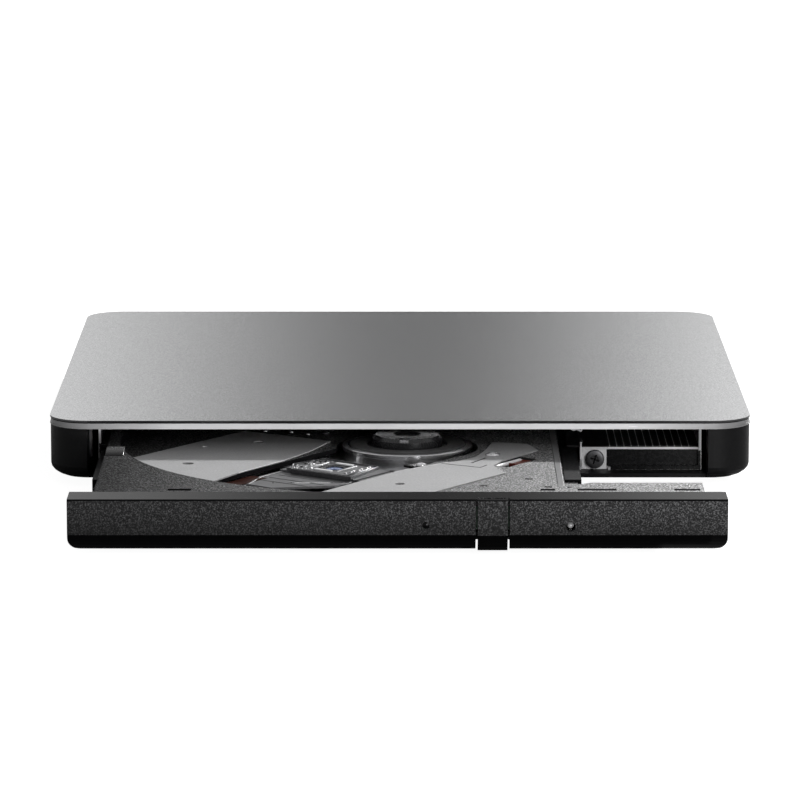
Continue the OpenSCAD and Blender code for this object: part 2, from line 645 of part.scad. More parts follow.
module lens_holder() color([0.1, 0.1, 0.12]) from_desk() pickup() difference() {
  union() {
    translate([0, 0, 5.8]) cylinder(r = 3, h = 1.7);
    block([-3.2, -4.6, 5.8], [6.4, 7.2, 0.74]);
  }
  translate([0, 0, 5]) cylinder(r = 2, h = 4);
}
module objective_lens() color([0.5, 0.6, 0.9]) from_desk() pickup() translate([0, 0, 6.4])
  rotate_extrude() polygon([[0, 0], [1.98, 0], [1.98, 0.8], [1.6, 1.05], [1, 1.2], [0, 1.25]]);

// ---------- eject gear ----------
solenoid_axis = [28.1, 6]; // in the traverse frame: [sideways, height]

module solenoid() color([0.75, 0.38, 0.2]) from_desk() traverse() difference() {
  union() {
    block([-4.2, 26.6, 4.3], [4.3, 3, 3.1]);
    for (u = [-4.6, 0]) block([u, 26.4, 4.1], [0.5, 3.4, 3.4]);
  }
  rod_u(solenoid_axis, 0.85, [-3, 6]);
}
module solenoid_plunger() color("white") from_desk() traverse()
  rod_u(solenoid_axis, 0.8, [-1.2, 4.3]);
module lever_spring() color("gray") from_desk() on_tray() for (z = [5.55, 5.95, 6.35])
  translate([lever_pivot[0], lever_pivot[1], z]) spring_turn(1.55, 0.19);
module lock_lever() color([0.75, 0.75, 0.72]) from_desk() on_tray()
  translate([lever_pivot[0], lever_pivot[1], 4.2]) rotate([0, 0, 17]) difference() {
    union() {
      cylinder(r = 2.2, h = 1);
      // hooked arm towards the back, short arm to the right
      linear_extrude(1)
        polygon([[-1.3, 1.4], [1.3, 1.4], [3.2, 9.2], [6.1, 9.2], [6.1, 10.6], [0.6, 10.6]]);
      linear_extrude(1) polygon([[1.4, -1.3], [1.4, 0.9], [5.8, -1.8], [5.8, -3.4]]);
    }
    translate([0, 0, -1]) cylinder(r = 1.25, h = 3);
  }
module ejector_plunger() color([0.8, 0.8, 0.78]) from_desk() on_tray() {
  rod_y(ejector_at, 1.25, [tray_back - 4, tray_back + 1]);
  rod_y(ejector_at, 0.5, [tray_back - 8, tray_back - 3.9]);
}
module ejector_spring() color("silver") from_desk() on_tray() for (k = [0:5])
  translate([ejector_at[0], tray_back - 10.8 + k * 0.95, ejector_at[1]]) rotate([90, 0, 0])
    spring_turn(0.95, 0.2);

top_plate();
lid_frame();
bottom_shell();
rubber_feet();
case_screws();
drive_chassis();
drive_top_cover();
cover_screws();
wing_shelf();
wing_liner();
front_tab_screw();
left_guide();
right_guide();
lock_pin();
shelf_flex_cable();
bridge_board();
bridge_chips();
usb_port();
drive_connector();
board_screws();
left_rail();
right_rail();
tray_frame();
bezel();
light_pipe();
front_board();
indicator_led();
eject_switch();
left_cover_plate();
right_cover_plate();
tray_bottom_cover();
main_board();
board_chips();
traverse_chassis();
rubber_dampers();
damper_screws();
main_guide_rod();
sub_guide_rod();
stepper_motor();
spindle_stator();
spindle_bearing();
solenoid();
solenoid_plunger();
lever_spring();
turntable();
friction_ring();
disc_hub();
clamp_balls();
pickup_carriage();
lens_cover();
feed_nut();
lens_holder();
objective_lens();
feed_screw();
eject_button();
lock_lever();
ejector_plunger();
ejector_spring();
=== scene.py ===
"""Looks of a slim external disc drive with its tray pulled out.

The enclosure is centred on the z axis and z = 0 is its underside. The front is -Y, so the tray
slides out towards -Y; +X is the right-hand side seen from the front. Shapes are given in mm.
"""
import json
import math
import random

import bpy
import bmesh
from mathutils import Matrix, Vector

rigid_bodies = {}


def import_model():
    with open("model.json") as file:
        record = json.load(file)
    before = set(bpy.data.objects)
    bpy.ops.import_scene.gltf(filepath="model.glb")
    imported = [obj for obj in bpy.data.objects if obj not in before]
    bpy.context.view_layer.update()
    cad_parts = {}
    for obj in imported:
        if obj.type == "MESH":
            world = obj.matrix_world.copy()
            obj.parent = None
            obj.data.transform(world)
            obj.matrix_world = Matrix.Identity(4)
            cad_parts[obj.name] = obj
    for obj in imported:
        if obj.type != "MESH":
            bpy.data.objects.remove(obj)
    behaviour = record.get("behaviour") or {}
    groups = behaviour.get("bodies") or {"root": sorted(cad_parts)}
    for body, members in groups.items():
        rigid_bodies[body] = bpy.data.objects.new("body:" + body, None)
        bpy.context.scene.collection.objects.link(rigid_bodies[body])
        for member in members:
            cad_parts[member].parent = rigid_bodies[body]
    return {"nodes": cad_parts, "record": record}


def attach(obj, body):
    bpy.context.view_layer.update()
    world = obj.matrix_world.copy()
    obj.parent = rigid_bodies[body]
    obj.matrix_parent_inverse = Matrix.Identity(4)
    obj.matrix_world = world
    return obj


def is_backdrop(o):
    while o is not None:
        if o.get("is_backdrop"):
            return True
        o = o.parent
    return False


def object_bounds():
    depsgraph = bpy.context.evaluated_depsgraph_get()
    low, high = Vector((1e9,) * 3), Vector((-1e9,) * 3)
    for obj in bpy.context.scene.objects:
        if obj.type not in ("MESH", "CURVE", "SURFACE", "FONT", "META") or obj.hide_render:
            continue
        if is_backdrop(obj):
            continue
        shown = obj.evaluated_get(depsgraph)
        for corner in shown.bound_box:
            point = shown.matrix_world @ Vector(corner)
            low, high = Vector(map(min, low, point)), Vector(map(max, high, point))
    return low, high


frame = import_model()
cad_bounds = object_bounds()
NODES = frame["nodes"]

MM = 0.001
PER_M = 1000.0                     # mm in a metre
SPINDLE = (1.5, -69.2)             # x, y of the disc spindle
TRAVEL_ANGLE = math.radians(234.5)  # direction in which the pickup travels
SHARP_ANGLE = math.radians(35)     # edges steeper than this are sharp and take the bevel
SHELF_TOP = 5.9                    # shelf beside the tray
COVER_TOP = 7.1                    # upper side of the two covers in the tray

UP = Vector((0, 0, 1))
FRONT = Vector((0, -1, 0))
DRIVE = Matrix()
# Pickup frame: u runs from the spindle along the travel, v across it.
PICKUP = Matrix.Translation((*SPINDLE, 0)) @ Matrix.Rotation(TRAVEL_ANGLE, 4, "Z")


# ------------------------------------------------------------------ node trees
class Tree:
    """Shader nodes of a material or world. An input takes a number, a colour or a socket."""

    def __init__(self, owner, output):
        owner.use_nodes = True
        self.tree = owner.node_tree
        self.tree.nodes.clear()
        self.output = self.new(output)

    def link(self, source, socket):
        self.tree.links.new(source, socket)

    def feed(self, socket, value):
        if isinstance(value, (int, float)):
            socket.default_value = value if socket.type == "VALUE" else (value, value, value, 1)
        elif isinstance(value, tuple):
            socket.default_value = (*value, 1)
        else:
            self.link(value, socket)

    def new(self, kind, inputs=None, **settings):
        node = self.tree.nodes.new("ShaderNode" + kind)
        for key, value in settings.items():
            setattr(node, key, value)
        for key, value in (inputs or {}).items():
            self.feed(node.inputs[key], value)
        return node

    def split(self, vector):
        return self.new("SeparateXYZ", {0: vector}).outputs

    def calc(self, operation, a, b=None, clamp=False):
        inputs = {0: a} if b is None else {0: a, 1: b}
        return self.new("Math", inputs, operation=operation, use_clamp=clamp).outputs[0]

    def ramp(self, factor, stops):
        """Colour ramp; stops are (position, grey or colour)."""
        node = self.new("ValToRGB", {0: factor})
        elements = node.color_ramp.elements
        while len(elements) < len(stops):
            elements.new(0.5)
        for element, (position, value) in zip(elements, stops):
            rgb = value if isinstance(value, tuple) else (value, value, value)
            element.position = position
            element.color = (*rgb, 1)
        return node.outputs[0]


MATERIALS = {}


class Material(Tree):
    """A Principled material textured in object space, entered in MATERIALS."""

    def __init__(self, name):
        self.material = bpy.data.materials.new(name)
        super().__init__(self.material, "OutputMaterial")
        self.bsdf = self.new("BsdfPrincipled")
        self.link(self.bsdf.outputs[0], self.output.inputs[0])
        self.coords = self.new("TexCoord").outputs["Object"]
        MATERIALS[name] = self.material

    def put(self, socket, value):
        self.feed(self.bsdf.inputs[socket], value)

    def stretched(self, scale):
        node = self.new("Mapping")
        node.inputs["Scale"].default_value = scale
        self.link(self.coords, node.inputs[0])
        return node.outputs[0]

    def noise(self, size, detail=3, rough=0.5, vector=None):
        inputs = {"Scale": PER_M / size, "Detail": detail, "Roughness": rough,
                  "Vector": vector or self.coords}
        return self.new("TexNoise", inputs).outputs["Fac"]

    def cells(self, size):
        inputs = {"Scale": PER_M / size, "Vector": self.coords}
        return self.new("TexVoronoi", inputs).outputs["Distance"]

    def mix(self, factor, a, b):
        return self.new("Mix", {0: factor, 6: a, 7: b}, data_type="RGBA").outputs[2]

    def scale(self, colour, factor):
        return self.new("VectorMath", {0: colour, 3: factor}, operation="SCALE").outputs[0]

    def facing(self, axis):
        """How squarely the face looks along an axis, 0 to 1."""
        normal = self.new("NewGeometry").outputs["True Normal"]
        return self.calc("ABSOLUTE", self.split(normal)[axis])

    def bump(self, height, depth):
        inputs = {"Strength": 1.0, "Distance": depth * MM, "Height": height}
        self.put("Normal", self.new("Bump", inputs).outputs[0])


# ------------------------------------------------------------------ materials
def scaled(rgb, factor):
    return tuple(min(1.0, c * factor) for c in rgb)


def between(dark, light, share):
    return tuple(d + share * (l - d) for d, l in zip(dark, light))


def plastic(name, rgb, rough, grain, depth, spread, spec):
    g = Material(name)
    fine = g.noise(grain, detail=4, rough=0.6)
    broad = g.noise(grain * 14)
    colour = g.ramp(fine, [(0.3, scaled(rgb, 1 - spread)), (0.7, scaled(rgb, 1 + spread))])
    colour = g.mix(g.ramp(broad, [(0.35, 0.0), (0.75, 0.35)]), colour, scaled(rgb, 1.5))
    g.put("Base Color", colour)
    rough_range = [(0.25, max(0.05, rough - 0.1)), (0.75, min(1, rough + 0.12))]
    g.put("Roughness", g.ramp(fine, rough_range))
    g.put("Specular IOR Level", spec)
    g.bump(g.mix(0.35, fine, g.cells(grain * 1.3)), depth)


def metal(name, rgb, rough, grain, depth, spread, cloud=0.15, metallic=1.0,
          streak=None, ends=None, rim=None):
    """Metal; streak stretches the grain, the ends setting paints shade over both x ends, rim paints
    the side faces dark as shade.
    """
    g = Material(name)
    vector = g.stretched(streak) if streak else None
    fine = g.noise(grain, detail=5, rough=0.65, vector=vector)
    broad = g.noise(grain * 9, detail=2)
    colour = g.mix(
        g.ramp(broad, [(0.3, 0.0), (0.8, cloud)]),
        g.ramp(fine, [(0.3, scaled(rgb, 1 - spread)), (0.7, scaled(rgb, 1 + spread))]),
        scaled(rgb, 0.8))
    # painted shade: the colour darkens towards both x ends, where the band turns round the corners
    # away from the light
    if ends:
        start, end, shaded_to = ends
        past = g.calc("SUBTRACT", g.calc("ABSOLUTE", g.split(g.coords)["X"]), start * MM)
        share = g.calc("MULTIPLY", past, PER_M / (end - start), clamp=True)
        colour = g.mix(share, colour, scaled(rgb, shaded_to))
    # painted shade: faces that are not level take the dark rim colour
    if rim:
        colour = g.mix(g.calc("LESS_THAN", g.facing("Z"), 0.5), colour, rim)
    g.put("Base Color", colour)
    g.put("Metallic", metallic)
    g.put("Roughness", g.ramp(fine, [(0.25, rough * 0.85), (0.75, min(1, rough * 1.15))]))
    g.bump(fine, depth)


def grained(name, dark, light, grain, depth, rough, spec, side, smooth=None):
    """Eroded plastic: dark ground with light peaks, and painted light making it lighter towards +X
    by side.

    With smooth, the grain covers only faces looking along Y and the rest takes that look; the front
    is painted darker towards its lower edge as shade.
    Without it, the grain covers the level faces and the walls are plain and dark, and the painted
    side light also strengthens the specular towards +X.
    """
    g = Material(name)
    fine = g.noise(grain, rough=0.75)
    broad = g.noise(grain * 12, detail=2)
    # on the tray, the light peaks partly paint the glints of grazing light on the grain
    colour = g.ramp(fine, [(0.45, dark), (0.53, between(dark, light, 0.22)), (0.6, light)])
    patches = g.ramp(broad, [(0.35, 0.0), (0.7, 0.15)])
    colour = g.mix(patches, colour, between(dark, light, 0.4))
    height = g.mix(0.3, fine, g.cells(grain * 1.2))
    roughness = g.ramp(fine, [(0.35, rough + 0.1), (0.65, rough - 0.08)])
    place = g.split(g.coords)
    # painted light: the colour is scaled up towards +X and down towards -X, by side per half width
    half_width = 65
    painted_sidelight = g.calc("ADD", g.calc("MULTIPLY", place["X"], side * PER_M / half_width), 1.0)
    colour = g.scale(colour, painted_sidelight)
    if smooth:
        # painted shade: the lower edge of the front is at half brightness, growing to full
        # brightness over the height above it
        shade_start, shade_height = 3.9, 4.5
        rise = g.calc("SUBTRACT", place["Z"], shade_start * MM)
        rise = g.calc("MULTIPLY", rise, PER_M / shade_height, clamp=True)
        colour = g.scale(colour, g.calc("ADD", g.calc("MULTIPLY", rise, 0.55), 0.5))
        covered = g.calc("GREATER_THAN", g.facing("Y"), 0.96)
        soft = g.noise(2.2)
        rgb = smooth["rgb"]
        plain = g.ramp(soft, [(0.3, scaled(rgb, 0.85)), (0.7, scaled(rgb, 1.15))])
        colour = g.mix(covered, plain, colour)
        roughness = g.mix(covered, smooth["rough"], roughness)
        height = g.calc("MULTIPLY", height, covered)
        specular = g.mix(covered, smooth["spec"], spec)
    else:
        covered = g.calc("GREATER_THAN", g.facing("Z"), 0.5)
        plain = g.ramp(broad, [(0.3, scaled(dark, 1.6)), (0.7, scaled(dark, 2.6))])
        colour = g.mix(covered, plain, colour)
        height = g.calc("MULTIPLY", height, covered)
        # painted highlight: the specular grows towards +X with the painted side light
        specular = g.calc("MULTIPLY", g.calc("MULTIPLY", painted_sidelight, painted_sidelight), spec)
    g.put("Specular IOR Level", specular)
    g.put("Base Color", colour)
    g.put("Roughness", roughness)
    g.bump(height, depth)


def clear(name, rgb, rough):
    g = Material(name)
    soft = g.noise(1.2, detail=2)
    g.put("Base Color", g.ramp(soft, [(0.3, scaled(rgb, 0.95)), (0.7, rgb)]))
    g.put("Roughness", g.ramp(soft, [(0.3, rough), (0.7, rough + 0.05)]))
    g.put("Transmission Weight", 0.85)
    g.put("IOR", 1.5)


def flex_cable(pitch=1.53, phase=40.35):
    """Dark laminated film with thin grey conductor lines across x, one every pitch."""
    g = Material("flex_cable")
    x = g.split(g.coords)["X"]
    fine = g.noise(0.6)
    turn = g.calc("FRACT", g.calc("ADD", g.calc("MULTIPLY", x, PER_M / pitch), phase))
    from_line = g.calc("ABSOLUTE", g.calc("SUBTRACT", turn, 0.5))
    line = g.ramp(from_line, [(0.05, 1.0), (0.085, 0.0)])
    g.put("Base Color", g.mix(line, (0.004, 0.004, 0.0045), g.ramp(fine, [(0.3, 0.5), (0.7, 0.75)])))
    g.put("Roughness", g.ramp(fine, [(0.3, 0.3), (0.7, 0.42)]))
    g.bump(fine, depth=0.004)


def shelf_steel():
    """Bright cut edges and front, dark film on the level faces."""
    g = Material("shelf_steel")
    fine = g.noise(0.35, detail=4, rough=0.6)
    level = g.calc("GREATER_THAN", g.facing("Z"), 0.5)
    bright = g.ramp(fine, [(0.3, (0.72, 0.72, 0.73)), (0.7, (0.92, 0.92, 0.93))])
    film = g.ramp(fine, [(0.3, (0.006, 0.006, 0.0065)), (0.7, (0.012, 0.012, 0.0125))])
    g.put("Base Color", g.mix(level, bright, film))
    g.put("Metallic", 0.1)
    g.put("Roughness", g.ramp(fine, [(0.3, 0.3), (0.7, 0.4)]))
    g.bump(fine, depth=0.006)


# name, colour, roughness, grain size, bump depth (both mm), colour spread, specular level
PLASTICS = [
    ("shell_black", (0.006, 0.006, 0.0065), 0.45, 0.5, 0.008, 0.2, 0.12),
    ("foot_rubber", (0.03, 0.03, 0.03), 0.8, 0.3, 0.01, 0.3, 0.3),
    ("rail_dark", (0.004, 0.004, 0.0045), 0.5, 0.5, 0.004, 0.2, 0.1),
    ("liner_black", (0.004, 0.004, 0.0045), 0.25, 0.8, 0.004, 0.2, 0.2),
    ("guide_plastic", (0.008, 0.008, 0.0085), 0.45, 0.6, 0.006, 0.15, 0.15),
    ("circuit_board", (0.012, 0.09, 0.035), 0.3, 1.6, 0.02, 0.3, 0.6),
    ("chip_black", (0.02, 0.02, 0.022), 0.5, 0.3, 0.01, 0.2, 0.5),
    ("tray_smooth", (0.024, 0.024, 0.025), 0.42, 0.5, 0.01, 0.2, 0.5),
    ("tray_strip", (0.2, 0.2, 0.203), 0.35, 0.6, 0.01, 0.15, 0.5),
    ("led_green", (0.25, 0.5, 0.25), 0.4, 0.5, 0.005, 0.1, 0.5),
    ("hub_black", (0.012, 0.012, 0.013), 0.24, 0.3, 0.002, 0.1, 0.5),
    ("flex_brown", (0.022, 0.0045, 0.0016), 0.4, 0.6, 0.01, 0.3, 0.03),
    # near-black so the light's window reads as a shaded hole: painted shade
    ("window_black", (0.002, 0.002, 0.0022), 0.1, 0.4, 0.001, 0.1, 0.12),
    ("ring_grey", (0.035, 0.035, 0.036), 0.5, 0.3, 0.003, 0.1, 0.4),
]
# name, colour, roughness, grain size, bump depth (both mm), colour spread, further settings;
# the ends setting paints shade over both x ends: |x| where it starts and is full, in mm, and the
# brightness it comes to
METALS = [
    # lid: the rim colour paints the skin's side faces dark as the shade of the groove below it
    ("lid_aluminium", (0.74, 0.745, 0.755), 0.2, 0.36, 0.02, 0.3,
     dict(cloud=0.03, rim=(0.12, 0.12, 0.122))),
    # frame: painted shade darkens the band towards both x ends, round the lid's corners
    ("frame_silver", (0.8, 0.8, 0.81), 0.25, 0.3, 0.002, 0.04,
     dict(cloud=0.03, metallic=0.2, streak=(0.04, 1, 1), ends=(48, 73, 0.28))),
    ("screw_black", (0.07, 0.07, 0.075), 0.42, 0.2, 0.004, 0.25, {}),
    ("sheet_steel", (0.72, 0.72, 0.73), 0.34, 0.3, 0.004, 0.12,
     dict(metallic=0.7, streak=(1, 0.04, 1))),
    ("plated_shell", (0.72, 0.71, 0.69), 0.25, 0.4, 0.003, 0.08, {}),
    ("cover_silver", (0.44, 0.44, 0.445), 0.45, 0.45, 0.04, 0.25, dict(cloud=0.3, metallic=0.3)),
    ("polished_rod", (0.86, 0.86, 0.87), 0.12, 0.3, 0.001, 0.04, {}),
    ("copper_winding", (0.22, 0.05, 0.035), 0.4, 0.25, 0.02, 0.3, {}),
    ("bronze", (0.6, 0.42, 0.2), 0.4, 0.3, 0.01, 0.2, {}),
    ("rotor_steel", (0.66, 0.66, 0.67), 0.24, 0.5, 0.002, 0.06, {}),
    ("carriage_metal", (0.13, 0.13, 0.135), 0.45, 0.4, 0.012, 0.25, dict(metallic=0.6)),
    ("dark_sheet", (0.12, 0.12, 0.125), 0.35, 0.4, 0.008, 0.2, {}),
    # painted reflection: light steel made a near-white diffuse, standing in for the floor's
    # reflection along its edges
    ("bright_sheet", (0.9, 0.9, 0.91), 0.35, 0.3, 0.006, 0.08, dict(metallic=0.1)),
    ("pickup_grey", (0.42, 0.42, 0.43), 0.35, 0.3, 0.01, 0.2, dict(metallic=0.7)),
]
for row in PLASTICS:
    plastic(*row)
for *row, settings in METALS:
    metal(*row, **settings)
# tray: its light peaks are partly painted glints, and side=0.8 paints light growing towards +X
grained("tray_black", dark=(0.003, 0.003, 0.0033), light=(0.36, 0.36, 0.365),
        grain=0.4, depth=0.3, rough=0.5, spec=0.25, side=0.8)
# bezel: side=0.35 paints light growing towards +X, and its front is painted darker towards the
# bottom as shade
grained("bezel_black", dark=(0.005, 0.005, 0.0053), light=(0.115, 0.115, 0.118),
        grain=0.31, depth=0.03, rough=0.5, spec=0.15, side=0.35,
        smooth=dict(rgb=(0.002, 0.002, 0.0022), rough=0.16, spec=0.05))
clear("clear_plastic", (0.1, 0.11, 0.11), rough=0.2)
clear("lens_glass", (0.35, 0.45, 0.75), rough=0.03)
flex_cable()
shelf_steel()

# ------------------------------------------------------------------ CAD pieces
finishes = {part["node"]: part["material_slot"] for part in frame["record"]["subparts"]}
finishes.update(friction_ring="ring_grey", wing_shelf="shelf_steel")
for name, ob in NODES.items():
    ob.data.materials.clear()
    ob.data.materials.append(MATERIALS[finishes[name]])
    for polygon in ob.data.polygons:
        polygon.material_index = 0


def add_bevel(ob, name, width, segments, angle):
    modifier = ob.modifiers.new(name, "BEVEL")
    modifier.width = width * MM
    modifier.segments = segments
    modifier.limit_method = "ANGLE"
    modifier.angle_limit = angle


for name, width in (("bezel", 0.12), ("eject_button", 0.14), ("lid_frame", 0.05)):
    add_bevel(NODES[name], "edge", width, segments=2, angle=math.radians(40))


# ------------------------------------------------------------------ shapes
def rectangle(x, y):
    return [(x[0], y[0]), (x[1], y[0]), (x[1], y[1]), (x[0], y[1])]


def rounded(x, y, radius, steps):
    """Rectangle outline with rounded corners, counter-clockwise from +x."""
    left, right = x[0] + radius, x[1] - radius
    low, high = y[0] + radius, y[1] - radius
    points = []
    for cx, cy, start in ((right, high, 0), (left, high, 90), (left, low, 180), (right, low, 270)):
        for k in range(steps + 1):
            angle = math.radians(start + 90 * k / steps)
            points.append((cx + radius * math.cos(angle), cy + radius * math.sin(angle)))
    return points


def inset(outline, distance):
    """Counter-clockwise outline moved inwards."""
    points = []
    for i, corner in enumerate(outline):
        corner = Vector(corner)
        into = (corner - Vector(outline[i - 1])).normalized()
        away = (Vector(outline[(i + 1) % len(outline)]) - corner).normalized()
        normal = Vector((-into.y, into.x))
        middle = (normal + Vector((-away.y, away.x))).normalized()
        points.append(tuple(corner + middle * (distance / max(0.3, middle.dot(normal)))))
    return points


def circle(count):
    """Cosine and sine of equal steps round a circle."""
    angles = [2 * math.pi * k / count for k in range(count)]
    return [(math.cos(a), math.sin(a)) for a in angles]


class Shape:
    """A mesh put together from simple solids, in mm in the frame given by at."""

    def __init__(self):
        self.bm = bmesh.new()

    def verts(self, points, at=DRIVE):
        return [self.bm.verts.new((at @ Vector(p)) * MM) for p in points]

    def face(self, corners):
        self.bm.faces.new(corners)

    def band(self, lower, upper):
        for k in range(len(lower)):
            after = (k + 1) % len(lower)
            self.face([lower[k], lower[after], upper[after], upper[k]])

    def box(self, x, y, z, at=DRIVE):
        lower, upper = (self.verts([(*p, h) for p in rectangle(x, y)], at) for h in z)
        self.face(lower[::-1])
        self.face(upper)
        self.band(lower, upper)

    def prism(self, outline, z, at=DRIVE):
        """Upright solid over a counter-clockwise outline."""
        lower, upper = (self.verts([(*p, h) for p in outline], at) for h in z)
        self.face(upper)
        self.face(lower[::-1])
        self.band(lower, upper)

    def slab(self, x, y, z, radius, steps=3, at=DRIVE):
        self.prism(rounded(x, y, radius, steps), z, at)

    def ring(self, outer, inner, z, at=DRIVE):
        """Upright closed band between two outlines with the same number of corners."""
        edges = ((outer, z[0]), (outer, z[1]), (inner, z[1]), (inner, z[0]))
        loops = [self.verts([(*p, h) for p in outline], at) for outline, h in edges]
        for k in range(len(outer)):
            after = (k + 1) % len(outer)
            for a, b in zip(loops, loops[1:] + loops[:1]):
                self.face([a[k], a[after], b[after], b[k]])

    def lathe(self, profile, centre, count, axis=UP):
        """Solid of revolution; profile is (radius, height), starting and ending on the axis."""
        centre = Vector(centre)
        turn = UP.rotation_difference(axis).to_matrix()
        rings = []
        for radius, height in profile:
            spokes = circle(count) if radius else [(0, 0)]
            rings.append(self.verts(
                [centre + turn @ Vector((radius * c, radius * s, height)) for c, s in spokes]))
        for k in range(count):
            self.face([rings[0][0], rings[1][(k + 1) % count], rings[1][k]])
        for lower, upper in zip(rings[1:-2], rings[2:-1]):
            self.band(lower, upper)
        for k in range(count):
            self.face([rings[-2][k], rings[-2][(k + 1) % count], rings[-1][0]])

    def tube(self, path, radius, count, at=DRIVE):
        """Round rod along a path that is nowhere vertical."""
        path = [at @ Vector(p) for p in path]
        rings = []
        for i, p in enumerate(path):
            along = (path[min(i + 1, len(path) - 1)] - path[max(i - 1, 0)]).normalized()
            side = along.cross(UP).normalized()
            rise = side.cross(along)
            rings.append(self.verts([p + (side * c + rise * s) * radius for c, s in circle(count)]))
        for a, b in zip(rings, rings[1:]):
            self.band(a, b)
        self.face(rings[0][::-1])
        self.face(rings[-1])

    def turn_faces_out(self):
        bmesh.ops.recalc_face_normals(self.bm, faces=self.bm.faces)

    def finish(self, name, material, body, bevel=0.0, segments=2):
        """Makes the object; it rides with body and its one slot holds the material named by
        material.
        """
        mesh = bpy.data.meshes.new(name)
        self.bm.normal_update()
        self.bm.to_mesh(mesh)
        self.bm.free()
        ob = bpy.data.objects.new(name, mesh)
        bpy.context.scene.collection.objects.link(ob)
        mesh.materials.append(MATERIALS[material])
        if bevel:
            add_bevel(ob, "bevel", bevel, segments, SHARP_ANGLE)
        for polygon in mesh.polygons:
            polygon.use_smooth = True
        bpy.context.view_layer.objects.active = ob
        mesh.set_sharp_from_angle(angle=SHARP_ANGLE)
        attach(ob, body)


def screw_head(name, centre, radius, height, material="rotor_steel",
               body="tray", at=DRIVE, axis=UP):
    """Dished pan head with a cross of four thin bars."""
    centre = at @ Vector(centre)
    # radius and height as shares of the head's
    profile = [(0, 0), (0.96, 0), (1, 0.35), (0.94, 0.72), (0.7, 1), (0.42, 1), (0.3, 0.45),
               (0, 0.4)]
    head = Shape()
    head.lathe([(radius * r, height * h) for r, h in profile], centre, 32, axis)
    upright = UP.rotation_difference(axis).to_matrix().to_4x4()
    bar = [(0.34, -0.05), (0.62, -0.07), (0.62, 0.07), (0.34, 0.05)]
    for angle in (0.4, 0.4 + math.pi / 2):
        cross = Matrix.Translation(centre) @ upright @ Matrix.Rotation(angle, 4, "Z")
        for side in (-1, 1):
            outline = [(x * side * radius, y * radius) for x, y in bar]
            head.prism(outline[::side], (height * 0.9, height * 1.04), cross)
    head.finish(name, material, body)


# ------------------------------------------------------------------ pickup
# u, v outlines
DECK = [(31.2, -9.3), (40, -9.2), (47.6, -6.7), (48, 0.1), (38.5, 9.4), (31.2, 9.4)]
LENS_BLOCK = [(19.2, -7.4), (28.0, -9.3), (32.8, -6.2), (32.8, 9.2), (20.3, 7.2)]
BOARD_TOP = 6.6                    # level of the small parts on the lens block

# deck with a raised border and three ribs
shape = Shape()
shape.prism(DECK, (5.4, 5.72), PICKUP)
shape.ring(inset(DECK, 0.25), inset(DECK, 0.6), (5.7, 5.86), PICKUP)
for u in (35.0, 38.2, 41.4):
    shape.prism(rectangle((u, u + 0.5), (-7.4, 6.5)), (5.7, 5.8), PICKUP)
shape.finish("pickup_deck", "carriage_metal", "pickup", bevel=0.06)

# two walls round the lens block and the groove between them
shape = Shape()
shape.ring(LENS_BLOCK, inset(LENS_BLOCK, 0.26), (5.8, 6.78), PICKUP)
shape.ring(inset(LENS_BLOCK, 0.85), inset(LENS_BLOCK, 1.05), (6.0, 6.74), PICKUP)
shape.finish("lens_block_frame", "dark_sheet", "pickup", bevel=0.05)
shape = Shape()
shape.ring(inset(LENS_BLOCK, 0.24), inset(LENS_BLOCK, 0.87), (5.8, BOARD_TOP), PICKUP)
shape.finish("lens_block_groove", "hub_black", "pickup")

# solder: scattered tilted blobs, then a staggered row of pads
rnd = random.Random(7)
shape = Shape()
for _ in range(64):
    u, v = rnd.uniform(20.6, 31.2), rnd.uniform(-7.9, -3.6)
    r = rnd.uniform(0.16, 0.42)
    tilt = Vector((rnd.uniform(-0.3, 0.3), rnd.uniform(-0.3, 0.3), 1)).normalized()
    blob = [(0, -0.05), (r, -0.05), (r * 0.9, r * 0.35), (r * 0.5, r * 0.7), (0, r * 0.8)]
    shape.lathe(blob, PICKUP @ Vector((u, v, 6.48)), 10, tilt)
for k in range(7):
    centre = PICKUP @ Vector((21.4 + k * 1.4, 5.6 + 0.35 * (k % 2), 6.56))
    shape.lathe([(0, 0), (0.3, 0), (0.34, 0.12), (0.2, 0.24), (0, 0.26)], centre, 10)
shape.finish("pickup_solder", "pickup_grey", "pickup")

# small rectangular parts among the solder
shape = Shape()
for _ in range(9):
    u, v = rnd.uniform(20.8, 30.4), rnd.uniform(-7.6, -4.4)
    length, width = rnd.uniform(0.35, 0.8), rnd.uniform(0.3, 0.55)
    height = rnd.uniform(0.12, 0.24)
    shape.box((u, u + length), (v, v + width), (BOARD_TOP - 0.02, BOARD_TOP + height), PICKUP)
shape.finish("pickup_parts", "chip_black", "pickup", bevel=0.05)

# suspension wires and yokes beside the lens
shape = Shape()
for v in (-3.7, 3.3):
    for z in (6.66, 6.78):
        shape.tube([(22.6, v, z), (26, v * 1.02, z + 0.02), (29.4, v, z)], 0.07, 8, PICKUP)
for u in (22.2, 29.8):
    shape.slab((u - 0.45, u + 0.45), (-2.3, 2.1), (6.5, 6.84), radius=0.2, at=PICKUP)
shape.finish("lens_suspension", "bright_sheet", "pickup", bevel=0.03)


# clamp bar across x with four collars, and its bright sleeve
def bar_span(x0, x1, y=-102.2, z=5.42):
    return [(x0, y, z), (x1, y, z)]


shape = Shape()
shape.tube(bar_span(-26.0, -11.8), 0.34, 16)
for x in (-26.0, -22.2, -13.9, -11.9):
    shape.tube(bar_span(x - 0.22, x + 0.22), 0.46, 16)
shape.finish("clamp_bar", "dark_sheet", "pickup", bevel=0.03)
shape = Shape()
shape.tube(bar_span(-21.6, -14.4), 0.43, 20)
shape.finish("clamp_bar_sleeve", "polished_rod", "pickup", bevel=0.04)

